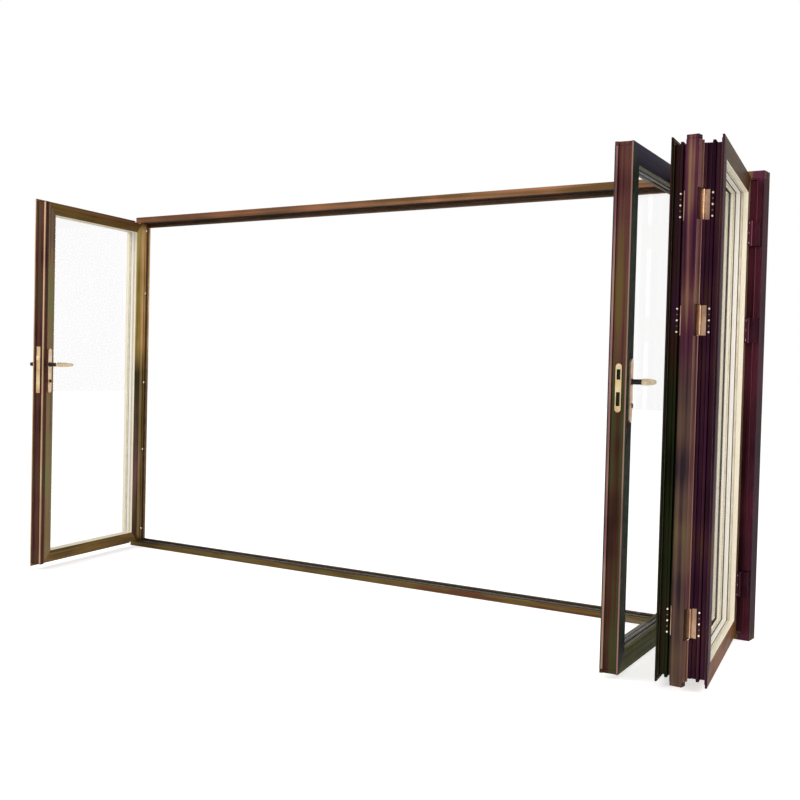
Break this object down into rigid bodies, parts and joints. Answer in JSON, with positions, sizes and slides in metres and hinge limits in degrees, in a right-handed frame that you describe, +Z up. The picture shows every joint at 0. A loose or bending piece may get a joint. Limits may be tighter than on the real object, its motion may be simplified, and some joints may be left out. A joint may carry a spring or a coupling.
{
  "type": "folding patio door",
  "caption": "Folding glass patio door in a dark metal frame, shown open: a hinged traffic leaf with lever handles at the left jamb, folding leaves stacked at the right jamb.",
  "frame": {"origin": "middle of the sill's underside", "axes": "+X along the frame towards the jamb that the folded leaves are stacked at, -Y towards the side that the leaves open to, +Z up"},
  "size_m": [4.1448, 1.0889, 2.1],
  "materials": {
    "bronze_anodised_aluminium": "dark bronze anodised, satin",
    "clear_glass": "clear float glass",
    "brushed_brass": "brushed",
    "satin_champagne_metal": "champagne coloured, satin",
    "polished_champagne_metal": "champagne coloured, polished",
    "zinc_plated_steel": "zinc plated"
  },
  "bodies": {
    "frame_and_stack": {"front_post": "bronze_anodised_aluminium", "front_post_hinge_1": "brushed_brass", "front_post_hinge_2": "brushed_brass", "front_post_hinge_3": "brushed_brass", "guide_shoe": "zinc_plated_steel", "head_track": "bronze_anodised_aluminium", "leaf_2_bottom_rail": "bronze_anodised_aluminium", "leaf_2_glass": "clear_glass", "leaf_2_handle_plate": "satin_champagne_metal", "leaf_2_hinge_stile": "bronze_anodised_aluminium", "leaf_2_lock_adapter": "bronze_anodised_aluminium", "leaf_2_lock_stile": "bronze_anodised_aluminium", "leaf_2_strike_plate": "brushed_brass", "leaf_2_top_rail": "bronze_anodised_aluminium", "leaf_3_bottom_rail": "bronze_anodised_aluminium", "leaf_3_glass": "clear_glass", "leaf_3_hinge_stile": "bronze_anodised_aluminium", "leaf_3_lock_stile": "bronze_anodised_aluminium", "leaf_3_top_rail": "bronze_anodised_aluminium", "leaf_4_bottom_rail": "bronze_anodised_aluminium", "leaf_4_glass": "clear_glass", "leaf_4_hinge_stile": "bronze_anodised_aluminium", "leaf_4_lock_stile": "bronze_anodised_aluminium", "leaf_4_top_rail": "bronze_anodised_aluminium", "left_jamb": "bronze_anodised_aluminium", "left_jamb_hinge_1": "brushed_brass", "left_jamb_hinge_2": "brushed_brass", "left_jamb_hinge_3": "brushed_brass", "right_jamb": "bronze_anodised_aluminium", "right_jamb_hinge_1": "bronze_anodised_aluminium", "right_jamb_hinge_2": "bronze_anodised_aluminium", "right_jamb_hinge_3": "bronze_anodised_aluminium", "roller_carriage": "zinc_plated_steel", "sill_track": "bronze_anodised_aluminium", "track_post": "bronze_anodised_aluminium", "track_post_hinge_1": "brushed_brass", "track_post_hinge_2": "brushed_brass", "track_post_hinge_3": "brushed_brass"},
    "traffic_leaf": {"traffic_leaf_bottom_rail": "bronze_anodised_aluminium", "traffic_leaf_glass": "clear_glass", "traffic_leaf_hinge_1": "brushed_brass", "traffic_leaf_hinge_2": "brushed_brass", "traffic_leaf_hinge_3": "brushed_brass", "traffic_leaf_hinge_stile": "bronze_anodised_aluminium", "traffic_leaf_inner_plate": "satin_champagne_metal", "traffic_leaf_lock_adapter": "bronze_anodised_aluminium", "traffic_leaf_lock_faceplate": "brushed_brass", "traffic_leaf_lock_stile": "bronze_anodised_aluminium", "traffic_leaf_outer_plate": "satin_champagne_metal", "traffic_leaf_top_rail": "bronze_anodised_aluminium"},
    "traffic_levers": {"traffic_leaf_levers": "polished_champagne_metal"},
    "stack_lever": {"leaf_2_lever": "polished_champagne_metal"}
  },
  "joints": [
    {"name": "traffic_leaf_hinge", "type": "hinge", "parent": "frame_and_stack", "child": "traffic_leaf", "pos_m": [-1.99, -0.06, 1.05], "axis": [0, 0, 1], "range_deg": [-25, 76]},
    {"name": "traffic_lever_turn", "type": "hinge", "parent": "traffic_leaf", "child": "traffic_levers", "pos_m": [-1.75277, -0.97839, 1.154], "axis": [-0.9703, -0.2419, 0], "range_deg": [0, 40], "stiffness_Nm_per_rad": 1.5, "springref_deg": -22.92},
    {"name": "stack_lever_turn", "type": "hinge", "parent": "frame_and_stack", "child": "stack_lever", "pos_m": [1.80164, -0.9961, 1.154], "axis": [-0.993, -0.1184, 0], "range_deg": [0, 40], "stiffness_Nm_per_rad": 1.5, "springref_deg": -22.92}
  ]
}
